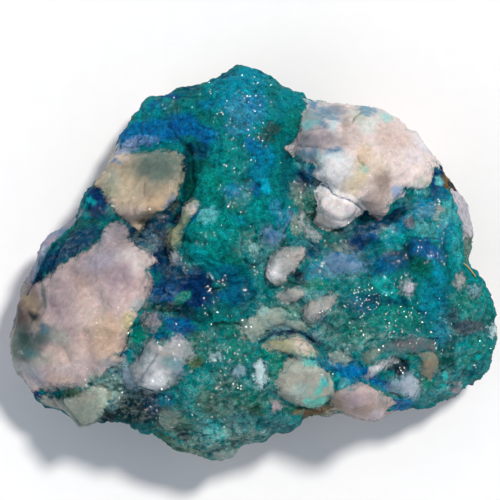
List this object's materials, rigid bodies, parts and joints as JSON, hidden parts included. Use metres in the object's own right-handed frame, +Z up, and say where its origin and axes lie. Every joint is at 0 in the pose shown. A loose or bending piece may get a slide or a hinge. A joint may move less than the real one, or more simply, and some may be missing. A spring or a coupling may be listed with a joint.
{
  "type": "chrysocolla mineral specimen",
  "caption": "Palm-sized natural stone of milky quartz and blue-green chrysocolla, lying flat with its mineral face up.",
  "frame": {"origin": "on the ground, under the middle of the stone's outline as seen from above", "axes": "+Z up out of the mineral face, +X along the stone's length, +Y towards its peak"},
  "size_m": [0.1104, 0.089, 0.0376],
  "materials": {
    "quartz_and_chrysocolla": "rough broken stone, glossy as if wet on the copper minerals, satin on the quartz, opaque"
  },
  "bodies": {
    "root": {"chrysocolla_stone": "quartz_and_chrysocolla"}
  },
  "joints": []
}
